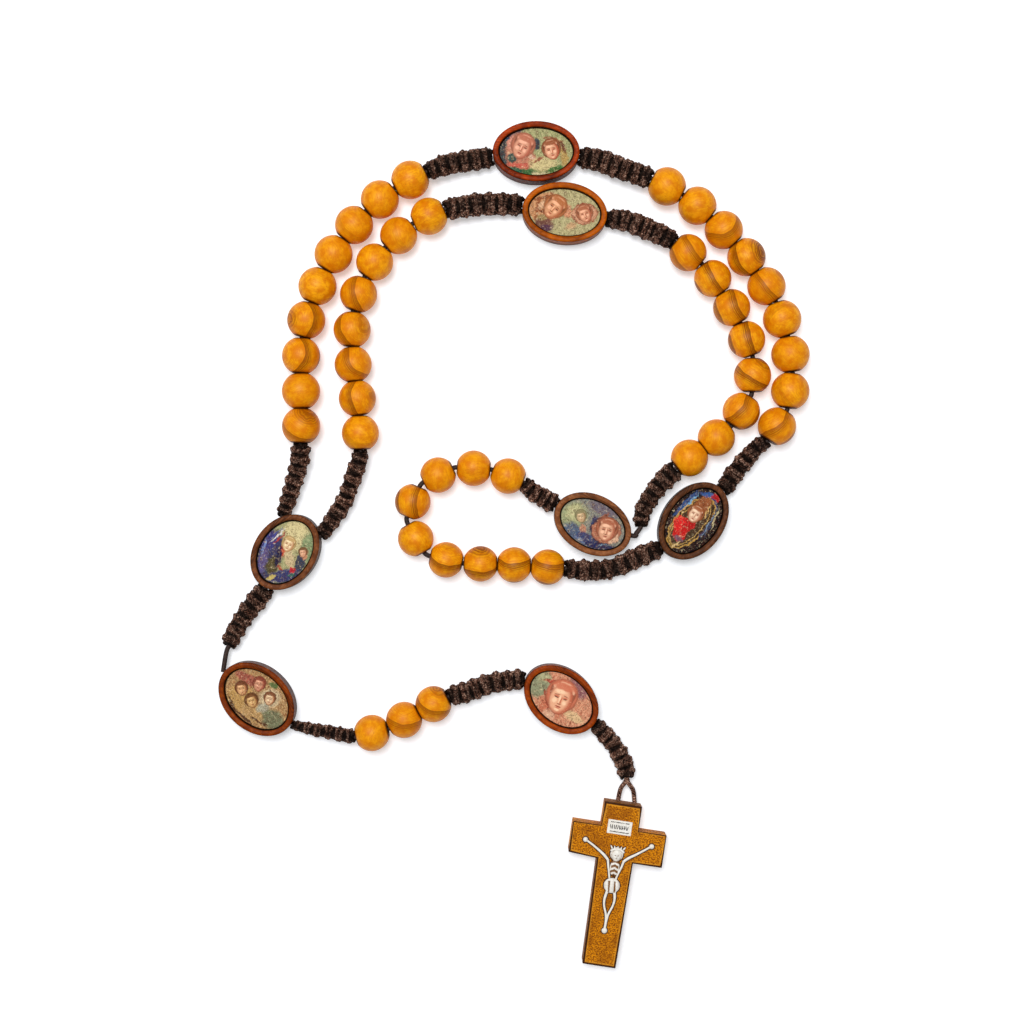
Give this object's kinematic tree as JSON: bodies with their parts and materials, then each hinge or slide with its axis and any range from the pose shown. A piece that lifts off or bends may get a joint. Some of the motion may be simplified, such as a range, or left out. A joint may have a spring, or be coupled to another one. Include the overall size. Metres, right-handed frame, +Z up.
{
  "type": "rosary",
  "caption": "Wooden prayer rosary laid flat: round beads on knotted dark cord, oval picture medallions and a flat wooden crucifix on a pendant strand.",
  "frame": {"origin": "middle of the laid-out rosary's outline, on the surface it rests on", "axes": "+Y from the crucifix towards the two top medallions, +X to the right seen from above, +Z up from the surface"},
  "size_m": [0.1226, 0.1754, 0.0078],
  "materials": {
    "bead_wood": "satin lacquer",
    "knotted_cord": "waxed thread",
    "red_brown_wood": "satin varnish",
    "golden_wood": "satin varnish",
    "dark_wood": "satin varnish",
    "cross_wood": "satin varnish"
  },
  "bodies": {
    "right_side": {"cord_right_outer": "knotted_cord", "cord_right_inner": "knotted_cord", "medallion_top_outer": "red_brown_wood", "medallion_top_inner": "golden_wood"},
    "left_side": {"cord_left": "knotted_cord", "medallion_centre": "dark_wood"},
    "small_loop": {"cord_lower_loop": "knotted_cord", "medallion_right": "dark_wood", "medallion_middle": "dark_wood"},
    "upper_pendant_medallion": {"medallion_pendant_upper": "red_brown_wood"},
    "pendant_strand": {"cord_pendant": "knotted_cord"},
    "lower_pendant_medallion": {"medallion_pendant_lower": "red_brown_wood"},
    "cross_cord": {"cord_cross": "knotted_cord"},
    "crucifix": {"cross": "cross_wood"},
    "strand_1_bead_1": {"strand_1_bead_1": "bead_wood"},
    "strand_1_bead_2": {"strand_1_bead_2": "bead_wood"},
    "strand_1_bead_3": {"strand_1_bead_3": "bead_wood"},
    "strand_1_bead_4": {"strand_1_bead_4": "bead_wood"},
    "strand_1_bead_5": {"strand_1_bead_5": "bead_wood"},
    "strand_1_bead_6": {"strand_1_bead_6": "bead_wood"},
    "strand_1_bead_7": {"strand_1_bead_7": "bead_wood"},
    "strand_1_bead_8": {"strand_1_bead_8": "bead_wood"},
    "strand_1_bead_9": {"strand_1_bead_9": "bead_wood"},
    "strand_2_bead_1": {"strand_2_bead_1": "bead_wood"},
    "strand_2_bead_2": {"strand_2_bead_2": "bead_wood"},
    "strand_2_bead_3": {"strand_2_bead_3": "bead_wood"},
    "strand_2_bead_4": {"strand_2_bead_4": "bead_wood"},
    "strand_2_bead_5": {"strand_2_bead_5": "bead_wood"},
    "strand_2_bead_6": {"strand_2_bead_6": "bead_wood"},
    "strand_2_bead_7": {"strand_2_bead_7": "bead_wood"},
    "strand_2_bead_8": {"strand_2_bead_8": "bead_wood"},
    "strand_2_bead_9": {"strand_2_bead_9": "bead_wood"},
    "strand_3_bead_1": {"strand_3_bead_1": "bead_wood"},
    "strand_3_bead_2": {"strand_3_bead_2": "bead_wood"},
    "strand_3_bead_3": {"strand_3_bead_3": "bead_wood"},
    "strand_3_bead_4": {"strand_3_bead_4": "bead_wood"},
    "strand_3_bead_5": {"strand_3_bead_5": "bead_wood"},
    "strand_3_bead_6": {"strand_3_bead_6": "bead_wood"},
    "strand_3_bead_7": {"strand_3_bead_7": "bead_wood"},
    "strand_3_bead_8": {"strand_3_bead_8": "bead_wood"},
    "strand_3_bead_9": {"strand_3_bead_9": "bead_wood"},
    "strand_4_bead_1": {"strand_4_bead_1": "bead_wood"},
    "strand_4_bead_2": {"strand_4_bead_2": "bead_wood"},
    "strand_4_bead_3": {"strand_4_bead_3": "bead_wood"},
    "strand_4_bead_4": {"strand_4_bead_4": "bead_wood"},
    "strand_4_bead_5": {"strand_4_bead_5": "bead_wood"},
    "strand_4_bead_6": {"strand_4_bead_6": "bead_wood"},
    "strand_4_bead_7": {"strand_4_bead_7": "bead_wood"},
    "strand_4_bead_8": {"strand_4_bead_8": "bead_wood"},
    "strand_5_bead_1": {"strand_5_bead_1": "bead_wood"},
    "strand_5_bead_2": {"strand_5_bead_2": "bead_wood"},
    "strand_5_bead_3": {"strand_5_bead_3": "bead_wood"},
    "strand_5_bead_4": {"strand_5_bead_4": "bead_wood"},
    "strand_5_bead_5": {"strand_5_bead_5": "bead_wood"},
    "strand_5_bead_6": {"strand_5_bead_6": "bead_wood"},
    "strand_5_bead_7": {"strand_5_bead_7": "bead_wood"},
    "strand_5_bead_8": {"strand_5_bead_8": "bead_wood"},
    "pendant_bead_1": {"pendant_bead_1": "bead_wood"},
    "pendant_bead_2": {"pendant_bead_2": "bead_wood"},
    "pendant_bead_3": {"pendant_bead_3": "bead_wood"}
  },
  "joints": [
    {"name": "left_side_fold", "type": "hinge", "parent": "right_side", "child": "left_side", "pos_m": [-0.00382, 0.07575, 0.0025], "axis": [-0.5606, 0.8281, 0], "range_deg": [0, 80]},
    {"name": "small_loop_fold", "type": "hinge", "parent": "right_side", "child": "small_loop", "pos_m": [0.03845, 0.01361, 0.0025], "axis": [-0.9948, 0.1021, 0], "range_deg": [0, 40]},
    {"name": "first_pendant_medallion_lift", "type": "hinge", "parent": "left_side", "child": "upper_pendant_medallion", "pos_m": [-0.06084, -0.02623, 0.0025], "axis": [-0.6018, -0.7986, 0], "range_deg": [0, 45]},
    {"name": "pendant_beads_swing", "type": "hinge", "parent": "upper_pendant_medallion", "child": "pendant_strand", "pos_m": [-0.04505, -0.03835, 0.0025], "axis": [0, 0, 1], "range_deg": [-40, 10]},
    {"name": "lower_pendant_medallion_lift", "type": "hinge", "parent": "pendant_strand", "child": "lower_pendant_medallion", "pos_m": [0.00071, -0.02699, 0.0025], "axis": [-0.4848, -0.8746, 0], "range_deg": [0, 60]},
    {"name": "cross_cord_swing", "type": "hinge", "parent": "lower_pendant_medallion", "child": "cross_cord", "pos_m": [0.01856, -0.03838, 0.0025], "axis": [0, 0, 1], "range_deg": [-40, 60]},
    {"name": "crucifix_lift", "type": "hinge", "parent": "cross_cord", "child": "crucifix", "pos_m": [0.02294, -0.05285, 0.0023], "axis": [-0.9885, 0.1513, 0], "range_deg": [0, 80]},
    {"name": "spin_strand_1_bead_1", "type": "hinge", "parent": "left_side", "child": "strand_1_bead_1", "pos_m": [-0.02139, 0.07558, 0.00395], "axis": [-0.8913, -0.4535, 0], "continuous": true},
    {"name": "spin_strand_1_bead_2", "type": "hinge", "parent": "left_side", "child": "strand_1_bead_2", "pos_m": [-0.02769, 0.07151, 0.00395], "axis": [-0.7797, -0.6262, 0], "continuous": true},
    {"name": "spin_strand_1_bead_3", "type": "hinge", "parent": "left_side", "child": "strand_1_bead_3", "pos_m": [-0.03302, 0.06624, 0.00395], "axis": [-0.6346, -0.7728, 0], "continuous": true},
    {"name": "spin_strand_1_bead_4", "type": "hinge", "parent": "left_side", "child": "strand_1_bead_4", "pos_m": [-0.03728, 0.06018, 0.00395], "axis": [-0.5137, -0.858, 0], "continuous": true},
    {"name": "spin_strand_1_bead_5", "type": "hinge", "parent": "left_side", "child": "strand_1_bead_5", "pos_m": [-0.04061, 0.05358, 0.00395], "axis": [-0.3844, -0.9232, 0], "continuous": true},
    {"name": "spin_strand_1_bead_6", "type": "hinge", "parent": "left_side", "child": "strand_1_bead_6", "pos_m": [-0.04293, 0.04653, 0.00395], "axis": [-0.2406, -0.9706, 0], "continuous": true},
    {"name": "spin_strand_1_bead_7", "type": "hinge", "parent": "left_side", "child": "strand_1_bead_7", "pos_m": [-0.04401, 0.03912, 0.00395], "axis": [-0.0444, -0.999, 0], "continuous": true},
    {"name": "spin_strand_1_bead_8", "type": "hinge", "parent": "left_side", "child": "strand_1_bead_8", "pos_m": [-0.04403, 0.03183, 0.00395], "axis": [0.0362, -0.9993, 0], "continuous": true},
    {"name": "spin_strand_1_bead_9", "type": "hinge", "parent": "left_side", "child": "strand_1_bead_9", "pos_m": [-0.04401, 0.02456, 0.00395], "axis": [-0.0282, -0.9996, 0], "continuous": true},
    {"name": "spin_strand_2_bead_1", "type": "hinge", "parent": "right_side", "child": "strand_2_bead_1", "pos_m": [0.0318, 0.07423, 0.00395], "axis": [0.8913, -0.4533, 0], "continuous": true},
    {"name": "spin_strand_2_bead_2", "type": "hinge", "parent": "right_side", "child": "strand_2_bead_2", "pos_m": [0.03812, 0.07022, 0.00395], "axis": [0.7893, -0.614, 0], "continuous": true},
    {"name": "spin_strand_2_bead_3", "type": "hinge", "parent": "right_side", "child": "strand_2_bead_3", "pos_m": [0.04358, 0.06519, 0.00395], "axis": [0.6774, -0.7356, 0], "continuous": true},
    {"name": "spin_strand_2_bead_4", "type": "hinge", "parent": "right_side", "child": "strand_2_bead_4", "pos_m": [0.04828, 0.05957, 0.00395], "axis": [0.604, -0.797, 0], "continuous": true},
    {"name": "spin_strand_2_bead_5", "type": "hinge", "parent": "right_side", "child": "strand_2_bead_5", "pos_m": [0.05243, 0.05354, 0.00395], "axis": [0.5282, -0.8491, 0], "continuous": true},
    {"name": "spin_strand_2_bead_6", "type": "hinge", "parent": "right_side", "child": "strand_2_bead_6", "pos_m": [0.05568, 0.04674, 0.00395], "axis": [0.3284, -0.9445, 0], "continuous": true},
    {"name": "spin_strand_2_bead_7", "type": "hinge", "parent": "right_side", "child": "strand_2_bead_7", "pos_m": [0.0574, 0.03944, 0.00395], "axis": [0.1286, -0.9917, 0], "continuous": true},
    {"name": "spin_strand_2_bead_8", "type": "hinge", "parent": "right_side", "child": "strand_2_bead_8", "pos_m": [0.05736, 0.03184, 0.00395], "axis": [-0.1387, -0.9903, 0], "continuous": true},
    {"name": "spin_strand_2_bead_9", "type": "hinge", "parent": "right_side", "child": "strand_2_bead_9", "pos_m": [0.05461, 0.02452, 0.00395], "axis": [-0.5444, -0.8388, 0], "continuous": true},
    {"name": "spin_strand_3_bead_1", "type": "hinge", "parent": "small_loop", "child": "strand_3_bead_1", "pos_m": [-0.00109, 0.0142, 0.0037], "axis": [-0.93, 0.3675, 0], "continuous": true},
    {"name": "spin_strand_3_bead_2", "type": "hinge", "parent": "small_loop", "child": "strand_3_bead_2", "pos_m": [-0.00825, 0.01582, 0.0037], "axis": [-0.9977, 0.0681, 0], "continuous": true},
    {"name": "spin_strand_3_bead_3", "type": "hinge", "parent": "small_loop", "child": "strand_3_bead_3", "pos_m": [-0.01563, 0.01441, 0.0037], "axis": [-0.9051, -0.4251, 0], "continuous": true},
    {"name": "spin_strand_3_bead_4", "type": "hinge", "parent": "small_loop", "child": "strand_3_bead_4", "pos_m": [-0.02088, 0.00888, 0.0037], "axis": [-0.3962, -0.9182, 0], "continuous": true},
    {"name": "spin_strand_3_bead_5", "type": "hinge", "parent": "small_loop", "child": "strand_3_bead_5", "pos_m": [-0.02026, 0.00123, 0.0037], "axis": [0.4948, -0.869, 0], "continuous": true},
    {"name": "spin_strand_3_bead_6", "type": "hinge", "parent": "small_loop", "child": "strand_3_bead_6", "pos_m": [-0.01399, -0.00317, 0.0037], "axis": [0.9778, -0.2096, 0], "continuous": true},
    {"name": "spin_strand_3_bead_7", "type": "hinge", "parent": "small_loop", "child": "strand_3_bead_7", "pos_m": [-0.00684, -0.00399, 0.0037], "axis": [0.9998, -0.0198, 0], "continuous": true},
    {"name": "spin_strand_3_bead_8", "type": "hinge", "parent": "small_loop", "child": "strand_3_bead_8", "pos_m": [0.00014, -0.00422, 0.0037], "axis": [0.9989, -0.0463, 0], "continuous": true},
    {"name": "spin_strand_3_bead_9", "type": "hinge", "parent": "small_loop", "child": "strand_3_bead_9", "pos_m": [0.00712, -0.00468, 0.0037], "axis": [0.9965, -0.084, 0], "continuous": true},
    {"name": "spin_strand_4_bead_1", "type": "hinge", "parent": "right_side", "child": "strand_4_bead_1", "pos_m": [0.03619, 0.06051, 0.00385], "axis": [0.7831, -0.6219, 0], "continuous": true},
    {"name": "spin_strand_4_bead_2", "type": "hinge", "parent": "right_side", "child": "strand_4_bead_2", "pos_m": [0.04133, 0.05515, 0.00385], "axis": [0.5898, -0.8076, 0], "continuous": true},
    {"name": "spin_strand_4_bead_3", "type": "hinge", "parent": "right_side", "child": "strand_4_bead_3", "pos_m": [0.04525, 0.04912, 0.00385], "axis": [0.4994, -0.8664, 0], "continuous": true},
    {"name": "spin_strand_4_bead_4", "type": "hinge", "parent": "right_side", "child": "strand_4_bead_4", "pos_m": [0.04833, 0.04252, 0.00385], "axis": [0.3431, -0.9393, 0], "continuous": true},
    {"name": "spin_strand_4_bead_5", "type": "hinge", "parent": "right_side", "child": "strand_4_bead_5", "pos_m": [0.04956, 0.03506, 0.00385], "axis": [-0.0214, -0.9998, 0], "continuous": true},
    {"name": "spin_strand_4_bead_6", "type": "hinge", "parent": "right_side", "child": "strand_4_bead_6", "pos_m": [0.04723, 0.02765, 0.00385], "axis": [-0.5481, -0.8364, 0], "continuous": true},
    {"name": "spin_strand_4_bead_7", "type": "hinge", "parent": "right_side", "child": "strand_4_bead_7", "pos_m": [0.04208, 0.02216, 0.00385], "axis": [-0.7978, -0.603, 0], "continuous": true},
    {"name": "spin_strand_4_bead_8", "type": "hinge", "parent": "right_side", "child": "strand_4_bead_8", "pos_m": [0.03649, 0.01796, 0.00385], "axis": [-0.8013, -0.5983, 0], "continuous": true},
    {"name": "spin_strand_5_bead_1", "type": "hinge", "parent": "left_side", "child": "strand_5_bead_1", "pos_m": [-0.01751, 0.06806, 0.00385], "axis": [-0.9141, -0.4055, 0], "continuous": true},
    {"name": "spin_strand_5_bead_2", "type": "hinge", "parent": "left_side", "child": "strand_5_bead_2", "pos_m": [-0.02381, 0.06406, 0.00385], "axis": [-0.7568, -0.6537, 0], "continuous": true},
    {"name": "spin_strand_5_bead_3", "type": "hinge", "parent": "left_side", "child": "strand_5_bead_3", "pos_m": [-0.02876, 0.05856, 0.00385], "axis": [-0.5721, -0.8202, 0], "continuous": true},
    {"name": "spin_strand_5_bead_4", "type": "hinge", "parent": "left_side", "child": "strand_5_bead_4", "pos_m": [-0.03211, 0.0519, 0.00385], "axis": [-0.3162, -0.9487, 0], "continuous": true},
    {"name": "spin_strand_5_bead_5", "type": "hinge", "parent": "left_side", "child": "strand_5_bead_5", "pos_m": [-0.03345, 0.04458, 0.00385], "axis": [-0.0435, -0.9991, 0], "continuous": true},
    {"name": "spin_strand_5_bead_6", "type": "hinge", "parent": "left_side", "child": "strand_5_bead_6", "pos_m": [-0.03324, 0.03735, 0.00385], "axis": [0.103, -0.9947, 0], "continuous": true},
    {"name": "spin_strand_5_bead_7", "type": "hinge", "parent": "left_side", "child": "strand_5_bead_7", "pos_m": [-0.03236, 0.03031, 0.00385], "axis": [0.1443, -0.9895, 0], "continuous": true},
    {"name": "spin_strand_5_bead_8", "type": "hinge", "parent": "left_side", "child": "strand_5_bead_8", "pos_m": [-0.03174, 0.02312, 0.00385], "axis": [0.0269, -0.9996, 0], "continuous": true},
    {"name": "spin_pendant_bead_1", "type": "hinge", "parent": "pendant_strand", "child": "pendant_bead_1", "pos_m": [-0.02936, -0.03908, 0.00375], "axis": [0.9694, 0.2455, 0], "continuous": true},
    {"name": "spin_pendant_bead_2", "type": "hinge", "parent": "pendant_strand", "child": "pendant_bead_2", "pos_m": [-0.02267, -0.03637, 0.00375], "axis": [0.8679, 0.4968, 0], "continuous": true},
    {"name": "spin_pendant_bead_3", "type": "hinge", "parent": "pendant_strand", "child": "pendant_bead_3", "pos_m": [-0.01659, -0.03309, 0.00375], "axis": [0.8923, 0.4514, 0], "continuous": true}
  ]
}
